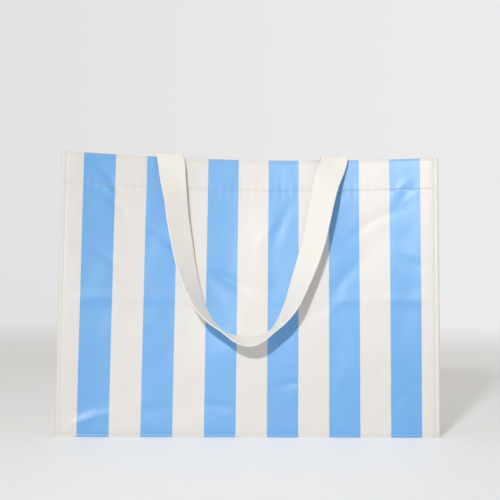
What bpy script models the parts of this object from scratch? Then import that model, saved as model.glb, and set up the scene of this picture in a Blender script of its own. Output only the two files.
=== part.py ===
"""Striped carry-all bag: five woven panels, a faced rim and two webbing handles.

Metres, +Z up. The front faces -Y and the origin is on the floor under the middle of the bag.
"""

import math

import bmesh
import bpy
from mathutils import Matrix, Vector

# Cut sizes of the body.
PANEL_WIDTH = 0.530
PANEL_HEIGHT = 0.392
BASE_DEPTH = 0.180
SEAM_WIDTH = 0.007
PLY = 0.0009
PLY_STEP = 0.0015

# How the standing bag leans: the corners come in a little, the middle of each rim more.
CORNER_LEAN = 0.035
RIM_BOW = 0.037
LEAN_POWER = 1.15
RIM_DRAW_IN = 0.0125

# The gusset folds inwards towards the rim.
FOLD_DEPTH = 0.068
FOLD_POWER = 0.9

# Rim facing and webbing.
FACING_HEIGHT = 0.046
FACING_INSET = 0.0039
WEB_WIDTH = 0.038
WEB_THICK = 0.0018
HANDLE_X = 0.117
END_TOP_GAP = 0.007
END_LENGTH = 0.036
RIM_HALF_THICKNESS = 0.0012

# Right half of the hanging loop, from the rim to its lowest point:
# x, z, distance of the webbing's middle from the panel, and twist in degrees.
LOOP_STATIONS = [
    (0.1170, 0.3875, 0.0055, 0.0),
    (0.1150, 0.3760, 0.0095, 4.0),
    (0.1095, 0.3540, 0.0170, 18.0),
    (0.1035, 0.3300, 0.0215, 31.0),
    (0.0970, 0.3000, 0.0215, 35.0),
    (0.0905, 0.2690, 0.0190, 38.0),
    (0.0815, 0.2350, 0.0180, 45.0),
    (0.0690, 0.2010, 0.0195, 57.0),
    (0.0560, 0.1770, 0.0205, 67.0),
    (0.0430, 0.1590, 0.0215, 77.0),
    (0.0290, 0.1450, 0.0215, 84.0),
    (0.0150, 0.1355, 0.0215, 79.0),
]
LOOP_BOTTOM = (0.0, 0.1320, 0.0215, 72.0)
LOOP_STEPS = 2

PANEL_COLUMNS = 20
PANEL_ROWS = 12
FACING_ROWS = 2

WHITE = (0.83, 0.80, 0.76)
BLUE = (0.28, 0.52, 0.83)
WEB_WHITE = (0.88, 0.86, 0.80)


def clear_scene():
    for item in list(bpy.data.objects):
        bpy.data.objects.remove(item)
    for group in list(bpy.data.collections):
        bpy.data.collections.remove(group)


def new_collection(name):
    group = bpy.data.collections.new(name)
    bpy.context.scene.collection.children.link(group)
    return group


def material(name, color, roughness):
    mat = bpy.data.materials.new(name)
    mat.use_nodes = True
    shader = mat.node_tree.nodes["Principled BSDF"]
    shader.inputs["Base Color"].default_value = (*color, 1.0)
    shader.inputs["Roughness"].default_value = roughness
    shader.inputs["Metallic"].default_value = 0.0
    return mat


def lean(across, up):
    """How far a point of the front panel has come in from the base's front edge."""
    return up**LEAN_POWER * (CORNER_LEAN + RIM_BOW * (1.0 - across * across))


def panel_point(across, up, inset=0.0):
    """A point of the front panel's outer face: across runs -1 to 1 and up runs 0 to 1."""
    rise = math.sqrt(PANEL_HEIGHT**2 - lean(across, 1.0) ** 2)
    x = across * PANEL_WIDTH / 2 * (1.0 - RIM_DRAW_IN * up**LEAN_POWER)
    y = -BASE_DEPTH / 2 + lean(across, up) + inset
    return Vector((x, y, up * rise))


def panel_y(x, z):
    """The front panel's outer face at a given x and z."""
    across = x / (PANEL_WIDTH / 2)
    up = z / math.sqrt(PANEL_HEIGHT**2 - lean(across, 1.0) ** 2)
    return panel_point(across, min(max(up, 0.0), 1.0)).y


def sheet_object(name, group, mat, rows, thickness):
    """A sheet through rows of points, thickened on the side away from its normals."""
    mesh = bpy.data.meshes.new(name)
    form = bmesh.new()
    grid = [[form.verts.new(point) for point in row] for row in rows]
    for low, high in zip(grid, grid[1:]):
        for k in range(len(low) - 1):
            form.faces.new((low[k], low[k + 1], high[k + 1], high[k]))
    form.to_mesh(mesh)
    form.free()
    mesh.materials.append(mat)
    item = bpy.data.objects.new(name, mesh)
    group.objects.link(item)
    shell = item.modifiers.new("thickness", "SOLIDIFY")
    shell.thickness = thickness
    shell.offset = -1.0
    return item


def turned_about(item, name, group):
    """A second piece like item, on the other side of the bag."""
    twin = item.copy()
    twin.name = name
    twin.matrix_world = Matrix.Rotation(math.pi, 4, "Z") @ item.matrix_world
    group.objects.link(twin)
    return twin


def make_panel(group, mat):
    rows = [
        [
            panel_point(-1.0 + 2.0 * i / PANEL_COLUMNS, j / PANEL_ROWS)
            for i in range(PANEL_COLUMNS + 1)
        ]
        for j in range(PANEL_ROWS + 1)
    ]
    return sheet_object("front_panel", group, mat, rows, PLY)


def gusset_fold(up):
    return FOLD_DEPTH * up**FOLD_POWER


def gusset_row(up, inset=0.0, flanges=True):
    """One level of the left gusset, from its front edge to its back edge."""
    seam = 1.0 - SEAM_WIDTH / (PANEL_WIDTH / 2)
    edge = panel_point(-1.0, up, PLY_STEP)
    wall = panel_point(-seam + inset / (PANEL_WIDTH / 2), up, PLY_STEP)
    fold = gusset_fold(up)
    half = [wall]
    for share in (0.25, 0.5, 0.75):
        half.append(wall + Vector((fold * share, -wall.y * share, 0.0)))
    row = half + [Vector((wall.x + fold, 0.0, wall.z))]
    row += [Vector((p.x, -p.y, p.z)) for p in reversed(half)]
    if flanges:
        row = [edge] + row + [Vector((edge.x, -edge.y, edge.z))]
    return row


def make_gusset(group, mat):
    rows = [gusset_row(j / PANEL_ROWS) for j in range(PANEL_ROWS + 1)]
    return sheet_object("left_gusset", group, mat, rows, PLY)


def make_base(group, mat):
    """The base sheet lies flat between the four walls."""
    size_x = PANEL_WIDTH - 2 * SEAM_WIDTH - 4 * PLY_STEP
    size_y = BASE_DEPTH - 4 * PLY_STEP
    bpy.ops.mesh.primitive_cube_add(size=1.0, location=(0.0, 0.0, PLY / 2))
    base = bpy.context.object
    base.name = "base_panel"
    base.data.transform(Matrix.Diagonal((size_x, size_y, PLY, 1.0)))
    base.data.materials.append(mat)
    for owner in list(base.users_collection):
        owner.objects.unlink(base)
    group.objects.link(base)
    return base


def facing_levels():
    start = 1.0 - FACING_HEIGHT / PANEL_HEIGHT
    return [start + (1.0 - start) * j / FACING_ROWS for j in range(FACING_ROWS + 1)]


def make_front_facing(group, mat):
    reach = 1.0 - 2.6 * SEAM_WIDTH / (PANEL_WIDTH / 2)
    rows = [
        [
            panel_point(reach * (-1.0 + 2.0 * i / PANEL_COLUMNS), up, PLY_STEP)
            for i in range(PANEL_COLUMNS + 1)
        ]
        for up in facing_levels()
    ]
    return sheet_object("front_facing", group, mat, rows, PLY)


def make_side_facing(group, mat):
    rows = [gusset_row(up, FACING_INSET, flanges=False) for up in facing_levels()]
    return sheet_object("left_facing", group, mat, rows, PLY)


def make_handle_end(name, group, mat, middle_x):
    """The sewn end of a handle, inside the facing and just below the rim."""
    top = 1.0 - END_TOP_GAP / PANEL_HEIGHT
    bottom = top - END_LENGTH / PANEL_HEIGHT
    rows = []
    for up in (bottom, top):
        row = []
        for side in (-1.0, 0.0, 1.0):
            across = (middle_x + side * WEB_WIDTH / 2) / (PANEL_WIDTH / 2)
            row.append(panel_point(across, up, 2 * PLY_STEP))
        rows.append(row)
    return sheet_object(name, group, mat, rows, WEB_THICK)


def loop_stations():
    """All stations of the loop, from its left end round to its right end."""
    left = [(-x, z, gap, twist) for x, z, gap, twist in LOOP_STATIONS]
    return left + [LOOP_BOTTOM] + list(reversed(LOOP_STATIONS))


def catmull(a, b, c, d, t):
    return tuple(
        0.5 * (2 * q + (r - p) * t + (2 * p - 5 * q + 4 * r - s) * t * t
               + (3 * q - p - 3 * r + s) * t**3)
        for p, q, r, s in zip(a, b, c, d)
    )


def smooth_stations():
    given = loop_stations()
    padded = [given[0]] + given + [given[-1]]
    found = []
    for k in range(1, len(padded) - 2):
        for step in range(LOOP_STEPS):
            found.append(catmull(*padded[k - 1:k + 3], step / LOOP_STEPS))
    return found + [given[-1]]


def make_loop(name, group, mat):
    """A flat band lofted through rectangular sections that turn as it hangs."""
    stations = smooth_stations()
    middles = [Vector((x, panel_y(x, z) - gap, z)) for x, z, gap, _ in stations]
    form = bmesh.new()
    rings = []
    for k, (_, _, _, twist) in enumerate(stations):
        run = middles[min(k + 1, len(middles) - 1)] - middles[max(k - 1, 0)]
        run.normalize()
        forward = Vector((0.0, -1.0, 0.0))
        forward = (forward - run * forward.dot(run)).normalized()
        outward = run.cross(forward)
        turn = math.radians(twist)
        across = outward * math.cos(turn) + forward * math.sin(turn)
        if k in (0, len(stations) - 1):
            across = Vector((math.copysign(1.0, across.x), 0.0, 0.0))
        normal = run.cross(across).normalized()
        rings.append([
            form.verts.new(middles[k] + across * a * WEB_WIDTH / 2 + normal * n * WEB_THICK / 2)
            for a, n in ((-1, -1), (1, -1), (1, 1), (-1, 1))
        ])
    for first, second in zip(rings, rings[1:]):
        for k in range(4):
            form.faces.new((first[k], first[(k + 1) % 4], second[(k + 1) % 4], second[k]))
    form.faces.new(list(reversed(rings[0])))
    form.faces.new(rings[-1])
    bmesh.ops.recalc_face_normals(form, faces=form.faces)
    height = LOOP_STATIONS[0][1]
    axis = Vector((0.0, panel_y(HANDLE_X, height) + RIM_HALF_THICKNESS, height))
    bmesh.ops.translate(form, verts=form.verts, vec=-axis)
    mesh = bpy.data.meshes.new(name)
    form.to_mesh(mesh)
    form.free()
    mesh.materials.append(mat)
    loop = bpy.data.objects.new(name, mesh)
    loop.location = axis
    group.objects.link(loop)
    return loop


def main():
    clear_scene()
    group = new_collection("striped_carry_all")
    striped = material("striped_weave", BLUE, 0.35)
    plain = material("plain_weave", WHITE, 0.4)
    webbing = material("webbing", WEB_WHITE, 0.75)
    pairs = [
        (make_panel(group, striped), "back_panel"),
        (make_gusset(group, plain), "right_gusset"),
        (make_front_facing(group, plain), "back_facing"),
        (make_side_facing(group, plain), "right_facing"),
        (make_handle_end("front_handle_left_end", group, webbing, -HANDLE_X),
         "back_handle_right_end"),
        (make_handle_end("front_handle_right_end", group, webbing, HANDLE_X),
         "back_handle_left_end"),
        (make_loop("front_handle_loop", group, webbing), "back_handle_loop"),
    ]
    bpy.context.view_layer.update()
    for item, twin_name in pairs:
        turned_about(item, twin_name, group)
    make_base(group, plain)


main()
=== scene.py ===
"""Striped carry-all bag, the looks: striped woven sheet, stitched seams and two webbing handles.

Metres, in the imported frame: the front faces -Y and the floor is z = 0. Every sheet is a fine grid
shaped in code from its flat cut. The flat coordinates stay on the sheet as the UV map "cut", so
that stripes, weave and stitching follow the cloth.
"""

import math

import bpy
from mathutils import Matrix, Vector, noise


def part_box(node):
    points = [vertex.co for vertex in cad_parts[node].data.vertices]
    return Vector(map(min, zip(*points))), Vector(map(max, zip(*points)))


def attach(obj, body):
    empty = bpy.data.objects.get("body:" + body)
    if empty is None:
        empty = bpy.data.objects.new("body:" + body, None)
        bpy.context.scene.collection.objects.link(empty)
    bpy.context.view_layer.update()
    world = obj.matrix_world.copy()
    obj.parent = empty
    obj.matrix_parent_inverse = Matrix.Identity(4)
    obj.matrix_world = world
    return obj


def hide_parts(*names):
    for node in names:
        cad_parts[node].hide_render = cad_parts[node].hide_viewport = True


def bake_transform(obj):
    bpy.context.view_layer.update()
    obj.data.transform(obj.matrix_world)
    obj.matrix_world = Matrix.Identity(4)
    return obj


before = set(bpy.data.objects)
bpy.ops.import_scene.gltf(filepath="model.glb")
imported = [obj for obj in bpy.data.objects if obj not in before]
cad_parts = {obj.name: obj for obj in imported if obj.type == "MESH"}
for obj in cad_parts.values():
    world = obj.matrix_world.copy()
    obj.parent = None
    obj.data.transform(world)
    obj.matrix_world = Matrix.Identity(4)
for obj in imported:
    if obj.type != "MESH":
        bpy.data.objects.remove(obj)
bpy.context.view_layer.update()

# ------------ sizes

# Cut sizes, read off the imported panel.
PANEL_LOW, PANEL_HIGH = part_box("front_panel")
PANEL_WIDTH = PANEL_HIGH.x - PANEL_LOW.x
BASE_DEPTH = -2.0 * PANEL_LOW.y
PANEL_HEIGHT = 0.392
SEAM_WIDTH = 0.007

# How the standing bag leans in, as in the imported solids: at a corner of the rim, and how much more
# at its middle. The rim is also narrower than the foot, by a share of the width.
CORNER_LEAN = 0.035
RIM_BOW = 0.037
LEAN_POWER = 1.15
RIM_DRAW_IN = 0.0125
# How far the rim's cloth has slipped along X: all of it, outwards at the sides, and its middle.
RIM_SHIFT = 0.0010
RIM_SKEW = 0.0020
RIM_SLIP = 0.0030
# How far the gussets' creases reach in at the rim.
FOLD_DEPTH = 0.068
FOLD_POWER = 0.9

# Cloth: thickness, and the depth of each layer's outer face below the panel's outer face.
CLOTH = 0.0007
FLANGE_DEPTH = 0.0008
FACING_DEPTH = 0.0021
CURL_RADIUS = 0.0009
CURL_ANGLES = [math.radians(20.0) * k for k in (1, 2, 3, 4)]
CURL_LEVEL = PANEL_HEIGHT - CURL_RADIUS
FACING_HEIGHT = 0.046
FACING_LEVEL = PANEL_HEIGHT - FACING_HEIGHT
FACING_MARGIN = 2.6 * SEAM_WIDTH
FACING_REACH = 0.93  # share of the gusset's wall that its facing covers
GUSSET_FACING_OFFSET = CLOTH + 0.0002

# Stripes, across the cut.
STRIPE = 0.0432
FIRST_STRIPE = -0.2356

# Distances between the stations of each sheet's grid.
PANEL_PITCH = 0.0026
FACING_PITCH = 0.0024
GUSSET_PITCH = 0.0032
BASE_PITCH = 0.005

# Stitch rows: distances from the rim, the side edge and the floor, and where side rows start.
HEM_ROW = 0.044
RIM_ROW = 0.003
SIDE_ROW = 0.006
FOOT_ROW = 0.0035
SIDE_ROW_START = 0.003
HEM_LEVEL, RIM_LEVEL = PANEL_HEIGHT - HEM_ROW, PANEL_HEIGHT - RIM_ROW
STITCH_PITCH = 0.0038
STITCH_LENGTH = 0.0030
THREAD = 0.00026

# Webbing handles: the strip, where its ends are sewn in, and the box stitch that holds them.
WEB_WIDTH = 0.038
WEB_THICK = 0.0018
WEB_CUP = 0.0004
WEB_WAVE = 0.00025
HANDLE_X = 0.117
END_INSET = 0.0032
BOX_HALF = 0.0165
BOX_TOP = 0.0055
BOX_BOTTOM = 0.0405

# One leg of a handle inside and over the rim: z, and distance out from the panel's outer face.
RIM_STATIONS = [
    (0.3441, -0.0032), (0.3560, -0.0032), (0.3680, -0.0032), (0.3790, -0.0032), (0.3846, -0.0032),
    (0.3873, -0.0028), (0.3892, -0.0012), (0.3898, 0.0012), (0.3892, 0.0038),
]
# The front handle stands a little clear of the rim: how much, and between which heights it rises.
FRONT_BEND_RISE = 0.0020
BEND_RISE_SPAN = (0.3846, 0.3890)

# The hanging loop's right half, from the rim to its lowest point: x, z, distance of the webbing's
# middle from the panel, and twist in degrees.
LOOP_STATIONS = [
    (0.1170, 0.3875, 0.0058, 0.0),
    (0.1150, 0.3760, 0.0098, 4.0),
    (0.1095, 0.3540, 0.0170, 18.0),
    (0.1040, 0.3300, 0.0215, 31.0),
    (0.0980, 0.3000, 0.0215, 35.0),
    (0.0920, 0.2690, 0.0190, 38.0),
    (0.0835, 0.2350, 0.0180, 45.0),
    (0.0720, 0.2010, 0.0195, 57.0),
    (0.0615, 0.1770, 0.0205, 67.0),
    (0.0490, 0.1590, 0.0215, 79.0),
    (0.0340, 0.1450, 0.0215, 88.0),
    (0.0170, 0.1350, 0.0215, 80.0),
]
LOOP_BOTTOM = (0.0, 0.1320, 0.0215, 72.0)
LOOP_TOP = LOOP_STATIONS[0][1]
LOOP_STEPS = 8  # points of the webbing's middle line from one station to the next

# Colours, linear.
BLUE = (0.097, 0.400, 0.84)
WHITE = (0.81, 0.78, 0.745)
WEB_WHITE = (0.93, 0.90, 0.845)
THREAD_CREAM = (0.80, 0.74, 0.66)


# ------------ camera, light and floor

CAMERA_HEIGHT = 0.2567
CAMERA_DISTANCE = 1.65
CAMERA_YAW = math.radians(4.2)
CAMERA_ROLL = math.radians(0.77)
CAMERA_LENS = 86.7
AIM_X = -0.003

# The surround is seen in greys of its own, and lights the bag with an even, slightly warm fill.
STUDIO_DARK = (0.745, 0.745, 0.748)
STUDIO_LIGHT = (0.835, 0.835, 0.838)
STUDIO_TURN = 0.28
FILL_STRENGTH = 0.32
FILL_COLOR = (1.0, 0.94, 0.87)
KEY = dict(aim=(0.14, -0.09, 0.24), bearing=-20.5, elevation=26.0, distance=3.0, size=0.27,
           spread=58.0, power=4.45, color=(0.97, 0.985, 1.0))
TOP_STRENGTH = 0.55
TOP_SPREAD = math.radians(100.0)

# The floor: it glows a little, and between the two distances it fades into the surround.
FLOOR_RADIUS = 9.0
FLOOR_CORNERS = 96
FLOOR_COLOR = (0.90, 0.925, 0.95)
FLOOR_GLOW = 0.14
FLOOR_FADE = (0.9, 2.8)


def make_camera():
    camera = bpy.data.objects.new("camera", bpy.data.cameras.new("camera"))
    camera.data.lens = CAMERA_LENS
    bpy.context.scene.collection.objects.link(camera)
    target = Vector((AIM_X, -BASE_DEPTH / 2, CAMERA_HEIGHT))
    away = Vector((-math.sin(CAMERA_YAW), -math.cos(CAMERA_YAW), 0.0))
    camera.matrix_world = (
        Matrix.Translation(target + away * CAMERA_DISTANCE)
        @ Matrix.Rotation(-CAMERA_YAW, 4, "Z")
        @ Matrix.Rotation(math.pi / 2, 4, "X")
        @ Matrix.Rotation(CAMERA_ROLL, 4, "Z")
    )
    bpy.context.scene.camera = camera


def make_lamp(name, kind, energy, color):
    lamp = bpy.data.objects.new(name, bpy.data.lights.new(name, kind))
    lamp.data.energy = energy
    lamp.data.color = color
    bpy.context.scene.collection.objects.link(lamp)
    return lamp


def make_key_light(aim, bearing, elevation, distance, size, spread, power, color):
    """A lamp whose light fades away from its aim; bearing runs from -Y towards +X, in degrees."""
    lamp = make_lamp("key_light", "AREA", power, color)
    lamp.data.shape = "DISK"
    lamp.data.size = size
    lamp.data.spread = math.radians(spread)
    turn, rise = math.radians(bearing), math.radians(elevation)
    away = Vector((
        math.sin(turn) * math.cos(rise), -math.cos(turn) * math.cos(rise), math.sin(rise)))
    lamp.location = Vector(aim) + away * distance
    lamp.rotation_euler = away.to_track_quat("Z", "Y").to_euler()


def make_top_light():
    """A broad even light from straight above."""
    lamp = make_lamp("top_light", "SUN", TOP_STRENGTH, FILL_COLOR)
    lamp.data.angle = TOP_SPREAD


def studio_grey(build, direction):
    """The surround's grey: a little darker towards -X, a little lighter towards +X."""
    split = build.node("SeparateXYZ")
    build.feed(split.inputs["Vector"], direction)
    share = build.ramp(split.outputs["X"], -STUDIO_TURN, STUDIO_TURN)
    grey = build.node("ValToRGB")
    grey.color_ramp.elements[0].color = (*STUDIO_DARK, 1.0)
    grey.color_ramp.elements[1].color = (*STUDIO_LIGHT, 1.0)
    build.feed(grey.inputs["Fac"], share)
    return grey.outputs["Color"]


def make_world():
    """A pale surround to look at, and another to light with."""
    world = bpy.data.worlds.new("studio")
    bpy.context.scene.world = world
    world.use_nodes = True
    world.node_tree.nodes.clear()
    build = Nodes(world.node_tree)
    seen = build.node("Background")
    direction = build.node("TexCoord").outputs["Generated"]
    build.feed(seen.inputs["Color"], studio_grey(build, direction))
    fill = build.node("Background")
    fill.inputs["Color"].default_value = (*FILL_COLOR, 1.0)
    fill.inputs["Strength"].default_value = FILL_STRENGTH
    to_camera = build.node("LightPath").outputs["Is Camera Ray"]
    both = build.mix_shaders(to_camera, fill.outputs["Background"], seen.outputs["Background"])
    build.feed(build.node("OutputWorld").inputs["Surface"], both)


def make_floor():
    """A round pale floor that fades into the surround."""
    mesh = bpy.data.meshes.new("floor")
    around = [2 * math.pi * k / FLOOR_CORNERS for k in range(FLOOR_CORNERS)]
    points = [(FLOOR_RADIUS * math.cos(a), FLOOR_RADIUS * math.sin(a), 0.0) for a in around]
    mesh.from_pydata(points, [], [list(range(FLOOR_CORNERS))])
    floor = bpy.data.objects.new("floor", mesh)
    bpy.context.scene.collection.objects.link(floor)
    build = NodeMaterial("floor_paper")
    build.set("Base Color", (*FLOOR_COLOR, 1.0))
    build.set("Emission Color", (1.0, 1.0, 1.0, 1.0))
    build.set("Emission Strength", FLOOR_GLOW)
    build.set("Roughness", 0.6)
    build.set("Specular IOR Level", 0.2)
    place = build.node("NewGeometry").outputs["Position"]
    distance = build.node("VectorMath", operation="LENGTH")
    build.feed(distance.inputs[0], place)
    fade = build.ramp(distance.outputs["Value"], *FLOOR_FADE)
    away = build.node("VectorMath", operation="NORMALIZE")
    build.feed(away.inputs[0], place)
    glow = build.node("Emission")
    build.feed(glow.inputs["Color"], studio_grey(build, away.outputs["Vector"]))
    both = build.mix_shaders(fade, build.shader.outputs["BSDF"], glow.outputs["Emission"])
    build.feed(build.output.inputs["Surface"], both)
    mesh.materials.append(build.material)


# ------------ materials

class Nodes:
    """A node tree while it is being built."""

    def __init__(self, tree):
        self.tree = tree

    def node(self, kind, **settings):
        made = self.tree.nodes.new(f"ShaderNode{kind}")
        for name, value in settings.items():
            setattr(made, name, value)
        return made

    def feed(self, socket, value):
        if isinstance(value, bpy.types.NodeSocket):
            self.tree.links.new(value, socket)
        else:
            socket.default_value = value

    def math(self, operation, *values):
        made = self.node("Math", operation=operation)
        for socket, value in zip(made.inputs, values):
            self.feed(socket, value)
        return made.outputs[0]

    def ramp(self, value, low, high, to_low=0.0, to_high=1.0):
        """Smoothly maps value from low..high to to_low..to_high."""
        made = self.node("MapRange", interpolation_type="SMOOTHSTEP")
        for name, number in (("Value", value), ("From Min", low), ("From Max", high),
                             ("To Min", to_low), ("To Max", to_high)):
            self.feed(made.inputs[name], number)
        return made.outputs["Result"]

    def mix_shaders(self, factor, first, second):
        made = self.node("MixShader")
        for socket, value in zip(made.inputs, (factor, first, second)):
            self.feed(socket, value)
        return made.outputs["Shader"]


class NodeMaterial(Nodes):
    """A node material while it is being built."""

    def __init__(self, name):
        self.material = bpy.data.materials.new(name)
        self.material.use_nodes = True
        super().__init__(self.material.node_tree)
        self.shader = self.tree.nodes["Principled BSDF"]
        self.output = self.tree.nodes["Material Output"]

    def set(self, socket, value):
        self.shader.inputs[socket].default_value = value

    def plus(self, base, value, amount):
        """base + value * amount."""
        return self.math("ADD", base, self.math("MULTIPLY", value, amount))

    def crown(self, value):
        """A row of round crowns, one over each whole step of value."""
        wave = self.math("SINE", self.math("MULTIPLY", value, math.pi))
        return self.math("ABSOLUTE", wave)

    def mix(self, factor, first, second):
        """Mixes two colours; the node has sockets of the same names for numbers and vectors."""
        first_color, second_color, mixed_color = 6, 7, 2
        made = self.node("Mix", data_type="RGBA")
        self.feed(made.inputs["Factor"], factor)
        self.feed(made.inputs[first_color], first)
        self.feed(made.inputs[second_color], second)
        return made.outputs[mixed_color]

    def scale_color(self, color, amount):
        """Color times a number."""
        made = self.node("VectorMath", operation="SCALE")
        self.feed(made.inputs[0], color)
        self.feed(made.inputs["Scale"], amount)
        return made.outputs["Vector"]

    def cut(self):
        """The flat coordinates of the cloth, in metres: across and up."""
        made = self.node("UVMap", uv_map="cut")
        split = self.node("SeparateXYZ")
        self.feed(split.inputs["Vector"], made.outputs["UV"])
        return split.outputs["X"], split.outputs["Y"]

    def place(self, x, y):
        made = self.node("CombineXYZ")
        self.feed(made.inputs["X"], x)
        self.feed(made.inputs["Y"], y)
        return made.outputs["Vector"]

    def noise(self, place, scale, detail=2.0, roughness=0.5):
        made = self.node("TexNoise")
        self.feed(made.inputs["Vector"], place)
        self.feed(made.inputs["Scale"], scale)
        self.feed(made.inputs["Detail"], detail)
        self.feed(made.inputs["Roughness"], roughness)
        return made.outputs["Fac"]

    def random(self, value):
        """A steady random number for each whole step of value."""
        made = self.node("TexWhiteNoise", noise_dimensions="1D")
        self.feed(made.inputs["W"], self.math("FLOOR", value))
        return made.outputs["Value"]

    def bump(self, height, strength, distance, base=None):
        made = self.node("Bump")
        made.inputs["Strength"].default_value = strength
        made.inputs["Distance"].default_value = distance
        self.feed(made.inputs["Height"], height)
        if base is not None:
            self.feed(made.inputs["Normal"], base)
        return made.outputs["Normal"]

    def finish(self, color, roughness, normal):
        self.feed(self.shader.inputs["Base Color"], color)
        self.feed(self.shader.inputs["Roughness"], roughness)
        self.feed(self.shader.inputs["Normal"], normal)
        return self.material


TAPE = 0.0016  # width of one woven tape
STRIPE_RAGGED = 0.0004
STRIPE_BLUR = 0.0003
# Heights above the foot over which the sheet gets darker towards the bottom.
LOW_DARKENING_HEIGHT = (0.004, 0.020)
BLUE_GLOSS, WHITE_GLOSS = 0.95, 0.5


def woven_sheet(name, striped):
    """Coated woven plastic: flat tapes over and under, soft sheen, faint streaks and scuffs."""
    build = NodeMaterial(name)
    across, up = build.cut()
    spot = build.place(across, up)
    tape_x = build.math("DIVIDE", across, TAPE)
    tape_y = build.math("DIVIDE", up, TAPE)

    crown_x, crown_y = build.crown(tape_x), build.crown(tape_y)
    steps = build.math("ADD", build.math("FLOOR", tape_x), build.math("FLOOR", tape_y))
    over = build.math("FLOORED_MODULO", steps, 2.0)
    under = build.math("SUBTRACT", 1.0, over)
    weave = build.math("MULTIPLY", over, build.math("POWER", crown_x, 0.5))
    weave = build.plus(weave, under, build.math("POWER", crown_y, 0.5))

    if striped:
        ragged = build.noise(build.place(build.math("MULTIPLY", across, 90.0),
                                         build.math("MULTIPLY", up, 260.0)), 1.0, 1.0)
        edge = build.plus(across, ragged, STRIPE_RAGGED)
        start = FIRST_STRIPE + STRIPE_RAGGED / 2
        share = build.math(
            "FRACT", build.math("DIVIDE", build.math("SUBTRACT", edge, start), 2 * STRIPE))
        soft = STRIPE_BLUR / (2 * STRIPE)
        off = build.ramp(share, 0.5 - soft, 0.5 + soft)
        wrap = build.ramp(share, 1.0 - soft, 1.0)
        white = build.math("SUBTRACT", off, wrap)
        body = build.mix(white, (*BLUE, 1.0), (*WHITE, 1.0))
        gloss = build.ramp(white, 0.0, 1.0, BLUE_GLOSS, WHITE_GLOSS)
        build.feed(build.shader.inputs["Specular IOR Level"], gloss)
    else:
        body = WHITE
        build.set("Specular IOR Level", WHITE_GLOSS)

    streak = build.random(tape_x)
    pick = build.random(build.math("ADD", tape_y, 900.0))
    cloud = build.noise(spot, 9.0, 3.0)
    # Darker towards the bottom: 3.5% darker at the foot, none above about 20 mm, along a wavy edge.
    low_darkening = build.ramp(build.plus(up, cloud, 0.012), *LOW_DARKENING_HEIGHT, 0.965, 1.0)
    tone = build.plus(0.955, cloud, 0.05)
    # Streak and pick are random tone per tape; the weave term makes each tape's crown lighter and
    # the hollows between tapes darker, which is painted shade.
    for pattern, amount in ((streak, 0.014), (pick, 0.006), (weave, 0.018)):
        tone = build.plus(tone, pattern, amount)
    color = build.scale_color(body, build.math("MULTIPLY", tone, low_darkening))

    haze = build.noise(spot, 34.0, 4.0)
    roughness = build.plus(0.42, haze, 0.16)
    roughness = build.plus(roughness, streak, 0.05)
    roughness = build.math("SUBTRACT", roughness, build.math("MULTIPLY", weave, 0.03))

    crinkle = build.noise(spot, 120.0, 3.0, 0.6)
    normal = build.bump(crinkle, 0.25, 0.0007)
    normal = build.bump(weave, 0.35, 0.00012, normal)
    build.set("IOR", 1.75)
    build.set("Coat Weight", 0.25)
    build.set("Coat Roughness", 0.34)
    return build.finish(color, roughness, normal)


RIB = 0.00152
PICK = 0.0011
SELVEDGE = 0.0016


def webbing():
    """Matt woven webbing: fine lengthwise ribs, picks across, tight selvedges, a little fluff."""
    build = NodeMaterial("webbing_weave")
    across, along = build.cut()
    spot = build.place(across, along)
    rib = build.math("DIVIDE", across, RIB)
    row = build.math("DIVIDE", along, PICK)
    every_other = build.math("FLOORED_MODULO", build.math("FLOOR", rib), 2.0)
    row = build.plus(row, every_other, 0.5)
    weave = build.math("MULTIPLY", build.math("POWER", build.crown(rib), 0.7),
                       build.plus(0.55, build.crown(row), 0.45))
    fluff = build.noise(spot, 900.0, 3.0, 0.7)
    cloud = build.noise(spot, 22.0, 3.0)
    half = WEB_WIDTH / 2
    edge = build.ramp(build.math("ABSOLUTE", across), half - SELVEDGE, half)
    tone = 0.93
    # The weave term makes each rib's crown lighter and the hollows between ribs and picks darker:
    # painted shade.
    for pattern, amount in ((weave, 0.06), (cloud, 0.04), (build.random(rib), 0.02), (edge, 0.02)):
        tone = build.plus(tone, pattern, amount)
    color = build.scale_color(WEB_WHITE, tone)
    roughness = build.plus(0.66, fluff, 0.22)
    normal = build.bump(fluff, 0.2, 0.0002)
    normal = build.bump(weave, 0.55, 0.0003, normal)
    build.set("Specular IOR Level", 0.3)
    build.set("Sheen Weight", 0.12)
    build.set("Sheen Roughness", 0.5)
    return build.finish(color, roughness, normal)


THREAD_TWIST = 0.0008  # length of one turn of the thread's plies


def sewing_thread():
    """Twisted polyester thread."""
    build = NodeMaterial("sewing_thread")
    across, along = build.cut()
    turns = build.math("MULTIPLY", along, 2 * math.pi / THREAD_TWIST)
    twist = build.math("ADD", turns, across)
    ply = build.math("ABSOLUTE", build.math("SINE", twist))
    cloud = build.noise(build.place(across, along), 60.0, 2.0)
    # Each ply is lighter on its crown and darker in the groove between plies: painted shade.
    tone = build.plus(build.plus(0.86, ply, 0.10), cloud, 0.08)
    color = build.scale_color(THREAD_CREAM, tone)
    roughness = build.plus(0.42, cloud, 0.2)
    build.set("Sheen Weight", 0.1)
    return build.finish(color, roughness, build.bump(ply, 0.5, 0.0001))


# ------------ the cloth's shape

# Seeds: each wall and gusset has waves of its own.
FRONT, BACK = 3.1, 11.7
LEFT, RIGHT = 40.0, 20.0

# Heights of the walls' waves, broad to small, and how far the walls sag between them.
WALL_BROAD, WALL_MEDIUM, WALL_SMALL = 0.0020, 0.0013, 0.00034
WALL_SAG = 0.0007
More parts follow.
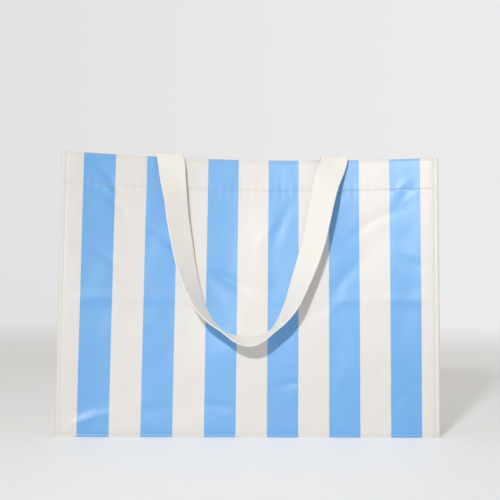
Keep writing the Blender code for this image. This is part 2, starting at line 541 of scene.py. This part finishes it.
# The cloth rolls out beside the side seams and above the foot's, and puckers along the hem.
SIDE_ROLL, FOOT_ROLL = 0.0003, 0.0004
PUCKER, PUCKER_PITCH = 0.00012, 0.0115
FLANGE_WAVE = 0.0006
SEWN_FLATNESS = 0.85
STITCH_DENT, STITCH_DENT_WIDTH = 0.00035, 0.0013

# The same for the gussets, with a slack belly low down and a slanting fold on each half.
GUSSET_BROAD, GUSSET_MEDIUM, GUSSET_SMALL = 0.0030, 0.0012, 0.00016
GUSSET_BELLY, BELLY_HEIGHT = 0.0030, 0.30
GUSSET_RIDGE, GUSSET_VALLEY = 0.0016, 0.0012


def smooth(low, high, value):
    share = min(max((value - low) / (high - low), 0.0), 1.0)
    return share * share * (3.0 - 2.0 * share)


def bell(distance, width):
    return math.exp(-(distance / width) ** 2)


def ripple(u, v, scale_u, scale_v, seed):
    """Smooth noise from -1 to 1 over a sheet's cut."""
    return noise.noise(Vector((u * scale_u, v * scale_v, seed)))


def lean(across, up):
    """How far a wall leans in: across runs -1 to 1 over its width, up 0 to 1 over its height."""
    return up**LEAN_POWER * (CORNER_LEAN + RIM_BOW * (1.0 - across * across))


def rim_slip(across, up):
    """The standing bag isn't quite true: near the rim its cloth has slipped a little along X."""
    return up**LEAN_POWER * (RIM_SHIFT + RIM_SKEW * across + RIM_SLIP * (1.0 - across * across))


def wall_point(u, v):
    """The front wall's smooth outer face at a place on its cut."""
    across = u / (PANEL_WIDTH / 2)
    up = v / PANEL_HEIGHT
    rise = math.sqrt(PANEL_HEIGHT**2 - lean(across, 1.0) ** 2)
    x = u * (1.0 - RIM_DRAW_IN * max(up, 0.0) ** LEAN_POWER) + rim_slip(across, max(up, 0.0))
    return Vector((x, -BASE_DEPTH / 2 + lean(across, max(up, 0.0)), up * rise))


def wall_axes(u, v):
    """Directions at a place on the front wall: up the cut, and outwards."""
    step = 0.001
    low = min(v, PANEL_HEIGHT - step)
    up = (wall_point(u, low + step) - wall_point(u, low)).normalized()
    side = wall_point(u + step, low) - wall_point(u - step, low)
    return up, side.cross(up).normalized()


def wall_depth_y(x, z):
    """The front wall's smooth outer face at a given x and z."""
    across = x / (PANEL_WIDTH / 2)
    up = min(max(z / math.sqrt(PANEL_HEIGHT**2 - lean(across, 1.0) ** 2), 0.0), 1.0)
    u = (x - rim_slip(across, up)) / (1.0 - RIM_DRAW_IN * up**LEAN_POWER)
    return wall_point(u, PANEL_HEIGHT * up).y


# Soft creases left by folding and handling: how far each can be felt and how much it is curved.
CREASE_REACH = 0.16
CREASE_BEND = 0.10
# Each one's place on the cut, direction from +X in degrees, half length, half width and height;
# positive stands out.
CREASES = [
    (-0.232, 0.020, 24.0, 0.036, 0.0070, 0.0019),
    (-0.150, 0.046, 14.0, 0.040, 0.0070, 0.0004),
    (-0.199, 0.337, -40.0, 0.018, 0.0050, 0.0013),
    (-0.188, 0.320, -47.0, 0.022, 0.0050, -0.0014),
    (-0.215, 0.256, -32.0, 0.045, 0.0065, -0.0011),
    (-0.112, 0.268, -42.0, 0.090, 0.0080, -0.0009),
    (-0.205, 0.365, -52.0, 0.024, 0.0050, -0.0010),
    (-0.030, 0.217, -25.0, 0.034, 0.0080, -0.0021),
    (0.042, 0.300, 68.0, 0.036, 0.0080, -0.0008),
    (0.020, 0.285, 55.0, 0.030, 0.0060, 0.0004),
    (0.216, 0.356, 42.0, 0.020, 0.0042, 0.0007),
    (0.224, 0.345, 42.0, 0.022, 0.0042, -0.0006),
    (0.172, 0.303, 30.0, 0.036, 0.0065, -0.0008),
    (0.226, 0.243, -32.0, 0.020, 0.0070, -0.0011),
    (0.236, 0.226, -34.0, 0.020, 0.0060, 0.0007),
    (0.132, 0.222, 50.0, 0.040, 0.0080, -0.0007),
    (0.118, 0.180, 40.0, 0.040, 0.0070, 0.0004),
    (0.062, 0.075, 4.0, 0.022, 0.0060, -0.0011),
    (-0.042, 0.043, -8.0, 0.026, 0.0055, -0.0009),
    (-0.060, 0.110, 20.0, 0.050, 0.0080, 0.0003),
    (0.160, 0.090, -24.0, 0.050, 0.0080, 0.0004),
    (0.205, 0.050, 48.0, 0.040, 0.0070, -0.0005),
]


def crease_relief(u, v, seed):
    """All creases at a place; the back wall has them mirrored."""
    total = 0.0
    side = 1.0 if seed == FRONT else -1.0
    for place_u, place_v, turn, length, width, height in CREASES:
        du, dv = u - side * place_u, v - place_v
        if abs(du) > CREASE_REACH or abs(dv) > CREASE_REACH:
            continue
        angle = math.radians(turn) * side
        along = du * math.cos(angle) + dv * math.sin(angle)
        off = -du * math.sin(angle) + dv * math.cos(angle)
        off += CREASE_BEND * along * along / length
        total += height * bell(along, length) * bell(off, width)
    return total


# The bag was once folded in half: a soft ridge stays across each wall, plainest near the sides.
FOLD_LINE = 0.190
FOLD_LINE_WIDTH = 0.0085
FOLD_LINE_HEIGHT = 0.0014


def fold_line_relief(u, v, seed):
    height = FOLD_LINE_HEIGHT * (0.25 + 0.75 * smooth(0.02, 0.20, abs(u)))
    height *= 0.9 + 0.5 * ripple(u, 0.0, 9.0, 1.0, seed + 30.0)
    wander = 0.003 * ripple(u, 1.0, 5.0, 1.0, seed + 30.0)
    return height * bell(v - FOLD_LINE - wander, FOLD_LINE_WIDTH)


def stitch_dent(distance):
    """The groove that a row of stitches pulls into the cloth."""
    return -STITCH_DENT * bell(distance, STITCH_DENT_WIDTH)


def sewn_share(u, rim):
    """1 where a handle's end is sewn flat against the wall, and 0 away from it."""
    beside = abs(abs(u) - HANDLE_X) - WEB_WIDTH / 2
    return smooth(0.014, 0.001, beside) * smooth(BOX_BOTTOM + 0.020, BOX_BOTTOM + 0.006, rim)


def wall_relief(u, v, seed):
    """How far the cloth stands out from the wall's smooth shape."""
    side = PANEL_WIDTH / 2 - abs(u)
    rim = PANEL_HEIGHT - v
    broad = ripple(u, v, 6.5, 6.0, seed)
    medium = ripple(u, v, 17.0, 13.0, seed + 5.0)
    small = ripple(u, v, 45.0, 38.0, seed + 9.0)

    held = smooth(SEAM_WIDTH, 0.060, side) * smooth(0.003, 0.050, v)
    held *= 0.30 + 0.70 * smooth(0.040, 0.110, rim)
    out = held * (WALL_BROAD * broad + WALL_MEDIUM * medium - WALL_SAG)
    out += WALL_SMALL * small * smooth(SEAM_WIDTH, 0.02, side)

    loose = smooth(SEAM_WIDTH, 0.030, side) * smooth(0.003, 0.020, v)
    loose *= 0.4 + 0.6 * smooth(0.0, 0.06, rim)
    out += loose * (crease_relief(u, v, seed) + fold_line_relief(u, v, seed))

    out += SIDE_ROLL * smooth(SIDE_ROW, 0.012, side) * (1.0 - smooth(0.014, 0.040, side))
    out += FOOT_ROLL * smooth(FOOT_ROW, 0.010, v) * (1.0 - smooth(0.012, 0.040, v))
    out *= 1.0 - SEWN_FLATNESS * sewn_share(u, rim)

    pucker = PUCKER * math.sin(u * 2 * math.pi / PUCKER_PITCH + 3.0 * broad)
    out += pucker * bell(rim - HEM_ROW, 0.010)
    out += stitch_dent(rim - HEM_ROW) + 0.7 * stitch_dent(rim - RIM_ROW)
    out += stitch_dent(side - SIDE_ROW) + stitch_dent(v - FOOT_ROW)
    flange = 1.0 - smooth(SIDE_ROW, 0.030, side)
    out += FLANGE_WAVE * flange * ripple(v, math.copysign(1.0, u), 16.0, 4.0, seed + 2.0)
    return out


def cloth_point(u, v, depth, seed):
    """A point of the front wall at a depth below its outer face, no higher than the rim."""
    level = min(v, PANEL_HEIGHT)
    up, out = wall_axes(u, level)
    return wall_point(u, level) + out * (wall_relief(u, level, seed) - depth)


def curled(base, up, out, angle, radius):
    """A point on a small curl that starts at base and turns against out."""
    return base + up * (radius * math.sin(angle)) - out * (radius * (1.0 - math.cos(angle)))


def spaced(start, end, pitch, fine=(), fine_pitch=0.0006, reach=0.0024):
    """Stations from start to end, closer together around each fine place."""
    count = max(int(round((end - start) / pitch)), 1)
    found = {round(start + (end - start) * k / count, 6) for k in range(count + 1)}
    for place in fine:
        steps = int(round(reach / fine_pitch))
        for k in range(-steps, steps + 1):
            spot = place + k * fine_pitch
            if start < spot < end:
                found = {value for value in found if abs(value - spot) > fine_pitch * 0.6
                         or value in (round(start, 6), round(end, 6))}
                found.add(round(spot, 6))
    return sorted(found)


# ------------ mesh building

COLLECTION = bpy.data.collections.new("bag_looks")
bpy.context.scene.collection.children.link(COLLECTION)
TURN = Matrix.Rotation(math.pi, 4, "Z")  # from the front to the back, or the left to the right


def mesh_object(name, points, faces, cuts, material):
    """A smooth mesh with its flat coordinates in the UV map "cut"."""
    mesh = bpy.data.meshes.new(name)
    mesh.from_pydata(points, [], faces)
    layer = mesh.uv_layers.new(name="cut")
    for loop in mesh.loops:
        layer.data[loop.index].uv = cuts[loop.vertex_index]
    mesh.shade_smooth()
    mesh.materials.append(material)
    item = bpy.data.objects.new(name, mesh)
    COLLECTION.objects.link(item)
    return item


def grid_sheet(name, rows, cuts, material, thickness=CLOTH, flip=False, skip=None):
    """A sheet through rows of points, thickened on the side away from its normals."""
    wide = len(rows[0])
    points = [point for row in rows for point in row]
    flat = [cut for row in cuts for cut in row]
    faces = []
    for j in range(len(rows) - 1):
        for i in range(wide - 1):
            if skip and skip(i, j):
                continue
            a = j * wide + i
            face = (a, a + 1, a + wide + 1, a + wide)
            faces.append(face[::-1] if flip else face)
    item = mesh_object(name, points, faces, flat, material)
    shell = item.modifiers.new("thickness", "SOLIDIFY")
    shell.thickness = thickness
    shell.offset = -1.0
    return item


def turned(points):
    return [TURN @ point for point in points]


def placed(rows, back):
    """Rows of the front side, turned round to the back where asked."""
    return [turned(row) for row in rows] if back else rows


# ------------ panels and facings

FACING_CURL = 0.8  # its curl's radius, as a share of the panel's


def wall_rows(us, vs, depth, seed, angles, facing):
    """A ply's points and flat places: up the wall at a depth, then curling over at the rim."""
    radius = CURL_RADIUS * (FACING_CURL if facing else 1.0)
    rows = [[cloth_point(u, v, depth, seed) for u in us] for v in vs]
    cuts = [[(u, v) for u in us] for v in vs]
    for angle in angles:
        row = []
        for u in us:
            up, out = wall_axes(u, CURL_LEVEL)
            base = cloth_point(u, CURL_LEVEL, depth, seed)
            row.append(curled(base, up, -out if facing else out, angle, radius))
        rows.append(row)
        cuts.append([(u, CURL_LEVEL + angle * CURL_RADIUS) for u in us])
    return rows, cuts


def make_panel(name, back, material):
    """Front or back wall: one striped sheet whose rim curls in over the facing."""
    half = PANEL_WIDTH / 2
    us = spaced(-half, half, PANEL_PITCH, (-half + SIDE_ROW, half - SIDE_ROW))
    vs = spaced(0.0, CURL_LEVEL, PANEL_PITCH, (FOOT_ROW, HEM_LEVEL, RIM_LEVEL))
    rows, cuts = wall_rows(us, vs, 0.0, BACK if back else FRONT, CURL_ANGLES, False)
    item = grid_sheet(f"{name}_cloth", placed(rows, back), cuts, material)
    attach(item, "bag")
    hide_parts(name)


def make_wall_facing(name, back, material):
    """The inner ply along the front or back rim, which curls out against the panel."""
    half = PANEL_WIDTH / 2 - FACING_MARGIN
    us = spaced(-half, half, 1.25 * FACING_PITCH)
    vs = spaced(FACING_LEVEL, CURL_LEVEL, FACING_PITCH, (HEM_LEVEL, RIM_LEVEL))
    rows, cuts = wall_rows(us, vs, FACING_DEPTH, BACK if back else FRONT, CURL_ANGLES[:-1], True)
    item = grid_sheet(f"{name}_cloth", placed(rows, back), cuts, material, flip=True)
    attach(item, "bag")
    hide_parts(name)


# ------------ gussets

CREASE_ROUND = 0.0065
CREASE_DIP = 0.0044
CREASE_CROWDING = 1.35
HALF_STATIONS = 34
GUSSET_CURL = CURL_RADIUS * 0.4
FLANGE_SHARES = (0.02, 0.3, 0.6, 0.86)


def seam_point(v, back, inset=SEAM_WIDTH):
    """The left gusset's cloth against the front or back panel, at an inset from its edge."""
    u = PANEL_WIDTH / 2 - inset
    if back:
        return TURN @ cloth_point(u, v, FLANGE_DEPTH, BACK)
    return cloth_point(-u, v, FLANGE_DEPTH, FRONT)


def gusset_base(share, v):
    """The left gusset's wall, folded in towards the rim: share runs -1 (front) to 1 (back)."""
    level = min(v, PANEL_HEIGHT)
    front, rear = seam_point(level, False), seam_point(level, True)
    up = level / PANEL_HEIGHT
    reach = (rear.y - front.y) / 2
    middle = (rear + front) / 2
    tight = CREASE_ROUND / reach * (1.4 - 0.6 * up)
    crown = math.sqrt(1.0 + tight**2)
    fold = (crown - math.sqrt(share**2 + tight**2)) / (crown - tight)
    edge = front.lerp(rear, (share + 1.0) / 2)
    x = edge.x + FOLD_DEPTH * max(up, 0.0) ** FOLD_POWER * fold
    return Vector((x, middle.y + reach * share, edge.z - CREASE_DIP * up * fold))


def gusset_relief(share, v, seed):
    """Slack cloth on the gusset, held at its seams."""
    held = (1.0 - share**2) * smooth(0.004, 0.06, v)
    rim = PANEL_HEIGHT - v
    held *= 0.3 + 0.7 * smooth(0.04, 0.11, rim)
    broad = ripple(share, v, 1.3, 6.0, seed + 0.5)
    medium = ripple(share, v, 3.4, 15.0, seed + 3.5)
    small = ripple(share, v, 8.0, 36.0, seed + 7.5)
    belly = -GUSSET_BELLY * math.sin(math.pi * min(v / BELLY_HEIGHT, 1.0)) * (1.0 - share**2)
    out = held * (GUSSET_BROAD * broad + GUSSET_MEDIUM * medium) + GUSSET_SMALL * small + belly
    diagonal = v - 0.050 - 0.11 * abs(share)
    out += (GUSSET_RIDGE * held * bell(diagonal, 0.008)
            - GUSSET_VALLEY * held * bell(diagonal - 0.024, 0.010))
    out += stitch_dent(rim - HEM_ROW) * (1.0 - share**8)
    return out


def gusset_axes(share, v):
    """Directions at a place on the left gusset: up the cut, and into the bag."""
    step = 0.002
    low = min(v, PANEL_HEIGHT - step)
    up = (gusset_base(share, low + step) - gusset_base(share, low)).normalized()
    side = gusset_base(min(share + 0.01, 1.0), low) - gusset_base(max(share - 0.01, -1.0), low)
    return up, side.cross(up).normalized()


def gusset_point(share, v, offset, seed):
    """A point of the left gusset's wall, offset into the bag from its inner face."""
    _, inward = gusset_axes(share, v)
    return gusset_base(share, v) + inward * (offset + gusset_relief(share, v, seed))


def gusset_shares(reach):
    """Stations across the wall, closer together at the crease."""
    shares = [k / HALF_STATIONS for k in range(-HALF_STATIONS, HALF_STATIONS + 1)]
    return [reach * math.copysign(abs(share) ** CREASE_CROWDING, share) for share in shares]


def flange_points(v, back):
    """The seam allowance of the left gusset against one panel, from its edge to the seam."""
    return [seam_point(v, back, SEAM_WIDTH * share) for share in FLANGE_SHARES]


def row_cuts(row, v):
    """Flat coordinates along a row of points, measured from its middle."""
    lengths = [0.0]
    for a, b in zip(row, row[1:]):
        lengths.append(lengths[-1] + (b - a).length)
    return [(length - lengths[-1] / 2, v) for length in lengths]


def make_gusset(name, right, material):
    """One side wall: two seam allowances and a wall that folds inwards."""
    seed = RIGHT if right else LEFT
    vs = spaced(0.0, CURL_LEVEL, GUSSET_PITCH, (FOOT_ROW, HEM_LEVEL, RIM_LEVEL))
    shares = gusset_shares(1.0)
    rows, cuts = [], []
    for v in vs:
        row = flange_points(v, False)
        row += [gusset_point(share, v, 0.0, seed) for share in shares]
        row += list(reversed(flange_points(v, True)))
        rows.append(row)
        cuts.append(row_cuts(row, v))
    flange = len(FLANGE_SHARES)
    front_axes = wall_axes(-PANEL_WIDTH / 2, CURL_LEVEL)
    back_axes = [TURN @ axis for axis in wall_axes(PANEL_WIDTH / 2, CURL_LEVEL)]
    for angle in CURL_ANGLES[:-1]:
        row = []
        for k, base in enumerate(rows[len(vs) - 1]):
            if k < flange:
                up, out = front_axes
            elif k >= flange + len(shares):
                up, out = back_axes
            else:
                up, inward = gusset_axes(shares[k - flange], CURL_LEVEL)
                out = -inward
            row.append(curled(base, up, out, angle, GUSSET_CURL))
        rows.append(row)
        cuts.append(row_cuts(row, CURL_LEVEL + angle * CURL_RADIUS))
    item = grid_sheet(f"{name}_cloth", placed(rows, right), cuts, material)
    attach(item, "bag")
    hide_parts(name)


def make_gusset_facing(name, right, material):
    """The inner ply along a gusset's rim."""
    seed = RIGHT if right else LEFT
    vs = spaced(FACING_LEVEL, CURL_LEVEL, FACING_PITCH, (HEM_LEVEL, RIM_LEVEL))
    shares = gusset_shares(FACING_REACH)
    rows = [[gusset_point(share, v, GUSSET_FACING_OFFSET, seed) for share in shares] for v in vs]
    cuts = [row_cuts(row, v) for row, v in zip(rows, vs)]
    item = grid_sheet(f"{name}_cloth", placed(rows, right), cuts, material)
    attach(item, "bag")
    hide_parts(name)


# ------------ base

BASE_GAP_X, BASE_GAP_Y = 0.004, 0.006
BASE_CLOTH = 0.0006
BASE_TOP = 0.0009
BASE_WAVE = 0.0010


def make_base(material):
    """The base sheet: flat on the floor with small waves, its edges turned up at the walls."""
    size_x = PANEL_WIDTH - 2 * SEAM_WIDTH - BASE_GAP_X
    size_y = BASE_DEPTH - BASE_GAP_Y
    turn_up, bend = 0.005, 0.002

    def bent(distance, half):
        """Place and height of a strip that runs flat to half, then turns up."""
        past = abs(distance) - (half - bend)
        if past <= 0.0:
            return distance, 0.0
        angle = min(past / bend, math.pi / 2)
        rise = bend * (1.0 - math.cos(angle)) + max(past - bend * math.pi / 2, 0.0)
        return math.copysign(half - bend + bend * math.sin(angle), distance), rise

    half_x, half_y = size_x / 2, size_y / 2
    us, vs = (
        spaced(-half - turn_up, half + turn_up, BASE_PITCH, (-half, half), 0.0008, 0.0032)
        for half in (half_x, half_y))
    rows, cuts = [], []
    for v in vs:
        row = []
        for u in us:
            x, rise_x = bent(u, half_x)
            y, rise_y = bent(v, half_y)
            held = smooth(0.0, 0.03, half_x - abs(u)) * smooth(0.0, 0.03, half_y - abs(v))
            wave = BASE_WAVE * (0.5 + 0.5 * ripple(u, v, 14.0, 16.0, 60.0))
            row.append(Vector((x, y, BASE_TOP + rise_x + rise_y + wave * held)))
        rows.append(row)
        cuts.append([(u, v) for u in us])

    def corner(i, j):
        return min(abs(us[i]), abs(us[i + 1])) > half_x - bend and (
            min(abs(vs[j]), abs(vs[j + 1])) > half_y - bend)

    item = grid_sheet("base_panel_cloth", rows, cuts, material, BASE_CLOTH, skip=corner)
    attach(item, "bag")
    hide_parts("base_panel")


# ------------ handles

# The loop hangs a little to one side: how far down it is (0 at the rim, 1 at its lowest point), and
# how far along X its left and its right leg are shifted there.
LOOP_SWAY = [
    (0.00, 0.0034, 0.0034), (0.05, 0.0036, 0.0014), (0.13, 0.0004, -0.0022),
    (0.23, -0.0016, -0.0030), (0.34, -0.0040, -0.0034), (0.46, -0.0044, -0.0040),
    (0.60, -0.0066, -0.0064), (0.73, -0.0080, -0.0076), (0.83, -0.0080, -0.0074),
    (0.90, -0.0070, -0.0066), (0.95, -0.0052, -0.0052), (1.00, -0.0044, -0.0044),
]
TWIST_EASE = 0.020  # how far below the rim the loop's own twist takes over from the wall's slope


def loop_sway(share, right):
    """Sideways shift of a leg of the loop at a share of its drop."""
    for (start, *before), (end, *after) in zip(LOOP_SWAY, LOOP_SWAY[1:]):
        if share <= end:
            part = (share - start) / (end - start)
            return before[right] + (after[right] - before[right]) * part
    return LOOP_SWAY[-1][1 + right]


def handle_stations(rise):
    """x, z, distance from the panel, twist, and whether the station is on the hanging loop.

    The bend over the rim stands up by rise.
    """
    drop = LOOP_TOP - LOOP_BOTTOM[1]
    right = [(HANDLE_X, z + rise * smooth(*BEND_RISE_SPAN, z), gap, 0.0, 0.0)
             for z, gap in RIM_STATIONS]
    right += [(x, z, gap, twist, 1.0) for x, z, gap, twist in LOOP_STATIONS]
    left = [(-x, z, gap, twist, hangs) for x, z, gap, twist, hangs in right]
    whole = left + [(*LOOP_BOTTOM, 1.0)] + list(reversed(right))
    shifted = []
    for x, z, gap, twist, hangs in whole:
        share = max(LOOP_TOP - z, 0.0) / drop * hangs
        shifted.append((x + loop_sway(share, x > 0.0), z, gap, twist, hangs))
    return shifted


def catmull(a, b, c, d, t):
    """The place at a share t between b and c, on a smooth curve through all four."""
    return tuple(
        0.5 * (2 * q + (r - p) * t + (2 * p - 5 * q + 4 * r - s) * t * t
               + (3 * q - p - 3 * r + s) * t**3)
        for p, q, r, s in zip(a, b, c, d)
    )


def handle_path(rise):
    """Middle line of the webbing with the direction across it at each place."""
    given = handle_stations(rise)
    ends = [given[0]] + given + [given[-1]]
    fine = []
    for k in range(1, len(ends) - 2):
        for step in range(LOOP_STEPS):
            fine.append(catmull(*ends[k - 1:k + 3], step / LOOP_STEPS))
    fine.append(given[-1])
    middles = [Vector((x, wall_depth_y(x, z) - gap, z)) for x, z, gap, _, _ in fine]
    found = []
    near = 0.005
    for k, (x, z, _, twist, hangs) in enumerate(fine):
        run = (middles[min(k + 1, len(middles) - 1)] - middles[max(k - 1, 0)]).normalized()
        slope = (wall_depth_y(x + near, z) - wall_depth_y(x - near, z)) / (2 * near)
        across = Vector((1.0, slope, 0.0)) * math.copysign(1.0, x)
        if hangs > 0.999 and z < LOOP_TOP - 0.0005:
            forward = Vector((0.0, -1.0, 0.0))
            forward = (forward - run * forward.dot(run)).normalized()
            turn = math.radians(twist)
            bent = run.cross(forward) * math.cos(turn) + forward * math.sin(turn)
            ease = smooth(0.0, TWIST_EASE, LOOP_TOP - z)
            across = across.lerp(bent, ease)
        across = (across - run * across.dot(run)).normalized()
        found.append((middles[k], run, across))
    return found


def web_section():
    """Places across the webbing and its half thickness there: round edges, raised selvedges."""
    count, rounded, thinnest = 18, 0.045, 0.02
    half = []
    for k in range(count + 1):
        share = -math.cos(math.pi * k / count)
        edge = 1.0 - abs(share)
        near = min(edge / rounded, 1.0)
        thick = math.sqrt(near * (2.0 - near))
        selvedge = 0.10 * bell(edge - 0.06, 0.03)
        half.append((share * WEB_WIDTH / 2,
                     WEB_THICK / 2 * max(thick * (0.94 + selvedge), thinnest)))
    return half


def make_handle(name, back, material):
    """One strip of webbing: sewn inside the rim, over it, down in a twisted loop and back."""
    body = "back_handle" if back else "front_handle"
    section = web_section()
    ring = len(section) * 2 - 2
    points, cuts, faces = [], [], []
    length = 0.0
    path = handle_path(0.0 if back else FRONT_BEND_RISE)
    for k, (middle, run, across) in enumerate(path):
        if k:
            length += (middle - path[k - 1][0]).length
        normal = run.cross(across).normalized()
        wave = WEB_WAVE * ripple(length, 0.0, 40.0, 1.0, 5.0)
        lower = [(a, -h) for a, h in reversed(section[1:-1])]
        for a, h in section + lower:
            cup = WEB_CUP * (1.0 - (2 * a / WEB_WIDTH) ** 2)
            points.append(middle + across * a + normal * (h + cup + wave))
            cuts.append((a, length))
    for k in range(len(path) - 1):
        for i in range(ring):
            a, b = k * ring + i, k * ring + (i + 1) % ring
            faces.append((a, b, b + ring, a + ring))
    faces.append(tuple(reversed(range(ring))))
    last = (len(path) - 1) * ring
    faces.append(tuple(range(last, last + ring)))
    item = mesh_object(name, turned(points) if back else points, faces, cuts, material)
    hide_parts(f"{body}_loop", f"{body}_left_end", f"{body}_right_end")
    blend_handle(item, back)


def blend_handle(item, back):
    """Works out directions across the rim at the handle, which nothing uses, and bakes the webbing's
    placement into its mesh.
    """
    across_rim = Vector((0.0, 1.0, 1.0))
    up, out = ((axis * across_rim).normalized() for axis in wall_axes(HANDLE_X, PANEL_HEIGHT))
    if back:
        up, out = TURN @ up, TURN @ out
    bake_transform(item)


# ------------ stitching

# A stitch: its thread's sides, and its profile as place along it, height and fatness.
STITCH_SIDES = 6
STITCH_PROFILE = [(-1.0, -0.9, 0.45), (-0.72, 0.15, 1.0), (0.0, 0.75, 1.05), (0.72, 0.15, 1.0),
                  (1.0, -0.9, 0.45)]


def add_stitch(points, faces, cuts, middle, along, out, length, offset):
    """One short arched stitch of thread whose ends dip into the cloth."""
    side = along.cross(out)
    first = len(points)
    for share, height, fat in STITCH_PROFILE:
        centre = middle + along * (share * length / 2) + out * (height * THREAD)
        for k in range(STITCH_SIDES):
            angle = 2 * math.pi * k / STITCH_SIDES
            rim = side * math.cos(angle) + out * math.sin(angle)
            points.append(centre + rim * (THREAD * fat))
            cuts.append((angle, offset + share * length / 2))
    for j in range(len(STITCH_PROFILE) - 1):
        for k in range(STITCH_SIDES):
            a = first + j * STITCH_SIDES + k
            b = first + j * STITCH_SIDES + (k + 1) % STITCH_SIDES
            faces.append((a, b, b + STITCH_SIDES, a + STITCH_SIDES))
    faces.append(tuple(first + k for k in reversed(range(STITCH_SIDES))))
    last = first + (len(STITCH_PROFILE) - 1) * STITCH_SIDES
    faces.append(tuple(last + k for k in range(STITCH_SIDES)))


PROBES = 60  # steps in which a run's length is measured
STITCH_SKEW = 0.05
STITCH_UNEVEN = 0.06


def make_stitches(name, runs, material, turn):
    """Rows of stitches; each run is a function of 0 to 1 giving point and outward direction."""
    points, faces, cuts = [], [], []
    for run in runs:
        probe = [run(k / PROBES)[0] for k in range(PROBES + 1)]
        length = sum((b - a).length for a, b in zip(probe, probe[1:]))
        count = max(int(length / STITCH_PITCH), 1)
        for k in range(count):
            share = (k + 0.5) / count
            middle, out = run(share)
            ahead, _ = run(min(share + 0.25 / count, 1.0))
            behind, _ = run(max(share - 0.25 / count, 0.0))
            along = ahead - behind
            along = (along - out * along.dot(out)).normalized()
            wobble = ripple(share * count, len(points), 1.7, 0.001, 8.0)
            tilt = Matrix.Rotation(STITCH_SKEW * wobble, 3, out)
            add_stitch(points, faces, cuts, middle, tilt @ along, out,
                       STITCH_LENGTH * (1.0 + STITCH_UNEVEN * wobble), share * length)
    item = mesh_object(name, turned(points) if turn else points, faces, cuts, material)
    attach(item, "bag")


def wall_run(start, end, depth, seed, inside=False):
    """A straight stitch run on the wall's cut, from one place to another."""
    def run(share):
        u = start[0] + (end[0] - start[0]) * share
        v = start[1] + (end[1] - start[1]) * share
        _, out = wall_axes(u, v)
        return cloth_point(u, v, depth, seed), (-out if inside else out)
    return run


def gusset_run(v, reach, offset, seed, inside):
    """A stitch run across the left gusset's wall at one level."""
    def run(share):
        spot = reach * (2.0 * share - 1.0)
        _, inward = gusset_axes(spot, v)
        return gusset_point(spot, v, offset, seed), (inward if inside else -inward)
    return run


def box_runs(middle_x, depth, seed, inside):
    """A box with a cross through it, sewn through a handle's end."""
    top, bottom = PANEL_HEIGHT - BOX_TOP, PANEL_HEIGHT - BOX_BOTTOM
    left, right = middle_x - BOX_HALF, middle_x + BOX_HALF
    corners = [(left, top), (right, top), (right, bottom), (left, bottom)]
    pairs = list(zip(corners, corners[1:] + corners[:1]))
    pairs += [(corners[0], corners[2]), (corners[1], corners[3])]
    return [wall_run(a, b, depth, seed, inside) for a, b in pairs]


def make_all_stitches(material):
    """The rows on both panels, outside and inside, and on both gussets."""
    edge = PANEL_WIDTH / 2 - SIDE_ROW
    inner_edge = PANEL_WIDTH / 2 - FACING_MARGIN - 0.002
    for back, word in ((False, "front"), (True, "back")):
        seed = BACK if back else FRONT

        def level(v, reach=edge, depth=0.0, inside=False):
            return wall_run((-reach, v), (reach, v), depth, seed, inside)

        def upright(u, depth=0.0, inside=False):
            return wall_run((u, SIDE_ROW_START), (u, RIM_LEVEL), depth, seed, inside)

        def boxes(depth, inside):
            left = box_runs(-HANDLE_X, depth, seed, inside)
            return left + box_runs(HANDLE_X, depth, seed, inside)

        rows = {
            "hem": [level(HEM_LEVEL)],
            "rim": [level(RIM_LEVEL)],
            "foot": [level(FOOT_ROW)],
            "left_edge": [upright(-edge)],
            "right_edge": [upright(edge)],
            "boxes": boxes(0.0, False),
            "facing": [level(v, inner_edge, FACING_DEPTH, True) for v in (HEM_LEVEL, RIM_LEVEL)],
            "inner_box": boxes(END_INSET + WEB_THICK / 2, True),
            "flange": [upright(u, FLANGE_DEPTH + CLOTH, True) for u in (-edge, edge)],
        }
        for kind, runs in rows.items():
            make_stitches(f"{word}_{kind}_stitches", runs, material, back)
    for right, word in ((False, "left"), (True, "right")):
        seed = RIGHT if right else LEFT
        outer = [gusset_run(v, 0.95, -CLOTH, seed, False)
                 for v in (FOOT_ROW, HEM_LEVEL, RIM_LEVEL)]
        inner = [gusset_run(v, 0.90, GUSSET_FACING_OFFSET, seed, True)
                 for v in (HEM_LEVEL, RIM_LEVEL)]
        make_stitches(f"{word}_gusset_stitches", outer, material, right)
        make_stitches(f"{word}_gusset_facing_stitches", inner, material, right)


# ------------ build

def main():
    bpy.context.scene.view_settings.view_transform = "Standard"
    make_camera()
    make_world()
    make_key_light(**KEY)
    make_top_light()
    make_floor()
    striped = woven_sheet("striped_woven_sheet", True)
    plain = woven_sheet("plain_woven_sheet", False)
    web = webbing()
    thread = sewing_thread()
    make_panel("front_panel", False, striped)
    make_panel("back_panel", True, striped)
    make_wall_facing("front_facing", False, plain)
    make_wall_facing("back_facing", True, plain)
    make_gusset("left_gusset", False, plain)
    make_gusset("right_gusset", True, plain)
    make_gusset_facing("left_facing", False, plain)
    make_gusset_facing("right_facing", True, plain)
    make_base(plain)
    make_handle("front_handle_webbing", False, web)
    make_handle("back_handle_webbing", True, web)
    make_all_stitches(thread)


main()
